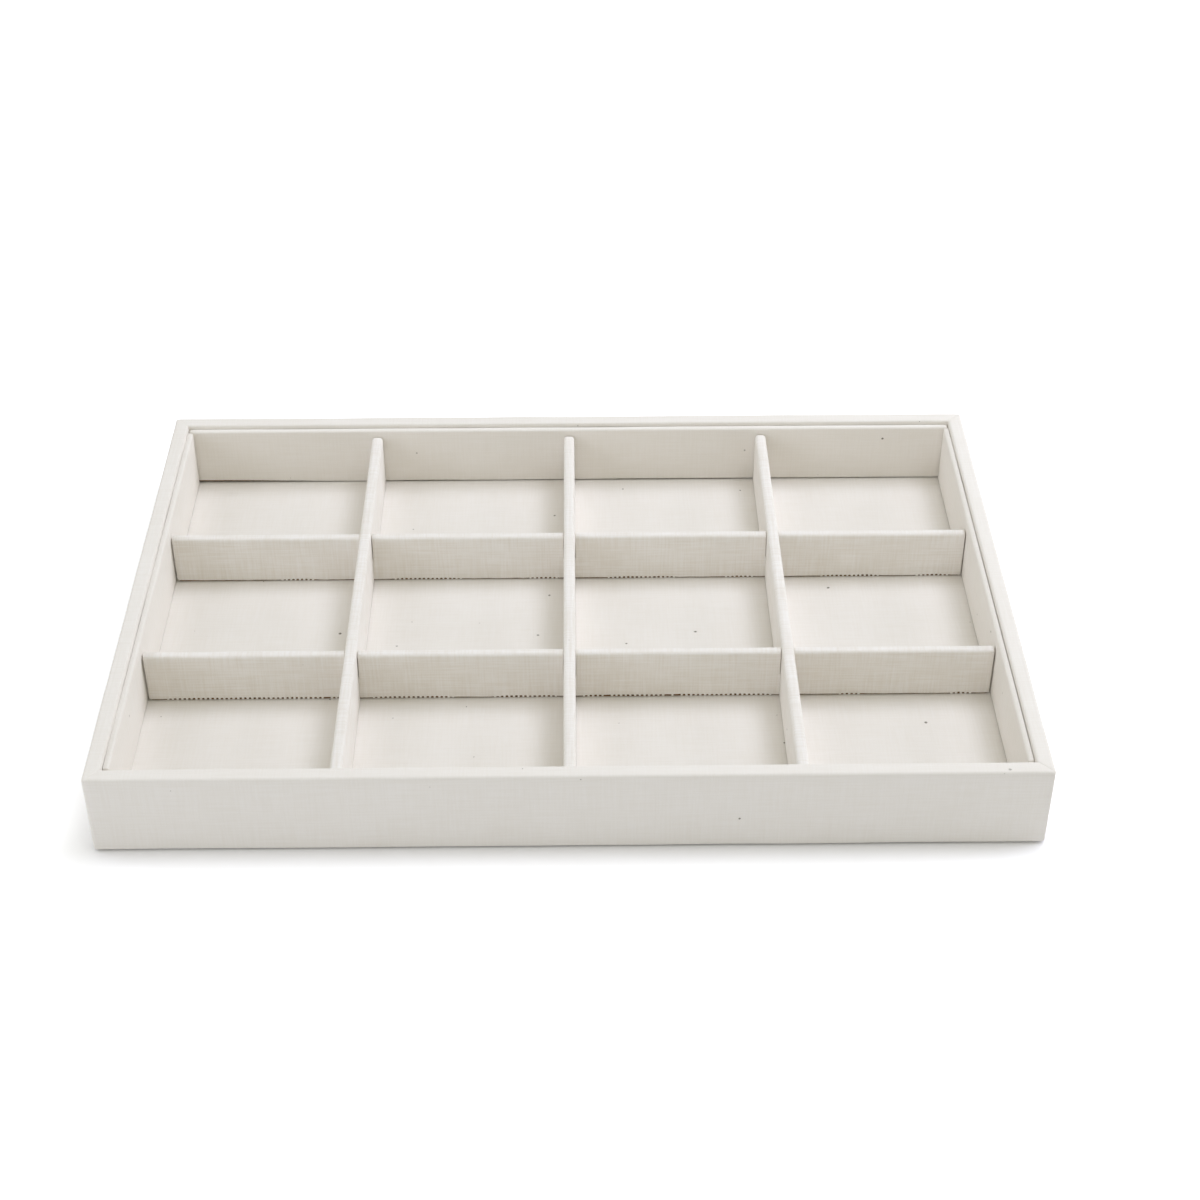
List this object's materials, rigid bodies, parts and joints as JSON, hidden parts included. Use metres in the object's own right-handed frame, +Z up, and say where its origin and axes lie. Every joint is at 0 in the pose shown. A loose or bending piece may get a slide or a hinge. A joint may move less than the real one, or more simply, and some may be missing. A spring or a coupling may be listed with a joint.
{
  "type": "jewelry tray",
  "caption": "Shallow rectangular linen-covered tray with an egg-crate grid of lift-out dividers that form open compartments for small jewelry.",
  "frame": {"origin": "centre of the tray's outline at the level of its underside", "axes": "+X along the tray's length to the right seen from the front, +Y to the back, +Z up"},
  "size_m": [0.35, 0.24, 0.035],
  "materials": {
    "linen": "matte plain-weave linen",
    "board": "raw fibreboard",
    "card": "raw grey card",
    "backing": "matte backing cloth"
  },
  "bodies": {
    "tray": {"front_wall_board": "board", "back_wall_board": "board", "left_wall_board": "board", "right_wall_board": "board", "base_board": "board", "outer_wrap": "linen", "base_sheet": "backing", "floor_card": "card", "floor_cloth": "linen", "front_lining_card": "card", "front_lining_cloth": "linen", "back_lining_card": "card", "back_lining_cloth": "linen", "left_lining_card": "card", "left_lining_cloth": "linen", "right_lining_card": "card", "right_lining_cloth": "linen"},
    "cross_dividers": {"front_cross_divider_card": "card", "front_cross_divider_cloth": "linen", "rear_cross_divider_card": "card", "rear_cross_divider_cloth": "linen"},
    "left_long_divider": {"left_long_divider_card": "card", "left_long_divider_cloth": "linen"},
    "middle_long_divider": {"middle_long_divider_card": "card", "middle_long_divider_cloth": "linen"},
    "right_long_divider": {"right_long_divider_card": "card", "right_long_divider_cloth": "linen"}
  },
  "joints": [
    {"name": "grid_lift", "type": "slide", "parent": "tray", "child": "cross_dividers", "axis": [0, 0, 1], "range_m": [0, 0.05]},
    {"name": "left_long_divider_lift", "type": "slide", "parent": "cross_dividers", "child": "left_long_divider", "axis": [0, 0, 1], "range_m": [0, 0.05]},
    {"name": "middle_long_divider_lift", "type": "slide", "parent": "cross_dividers", "child": "middle_long_divider", "axis": [0, 0, 1], "range_m": [0, 0.05]},
    {"name": "right_long_divider_lift", "type": "slide", "parent": "cross_dividers", "child": "right_long_divider", "axis": [0, 0, 1], "range_m": [0, 0.05]}
  ]
}
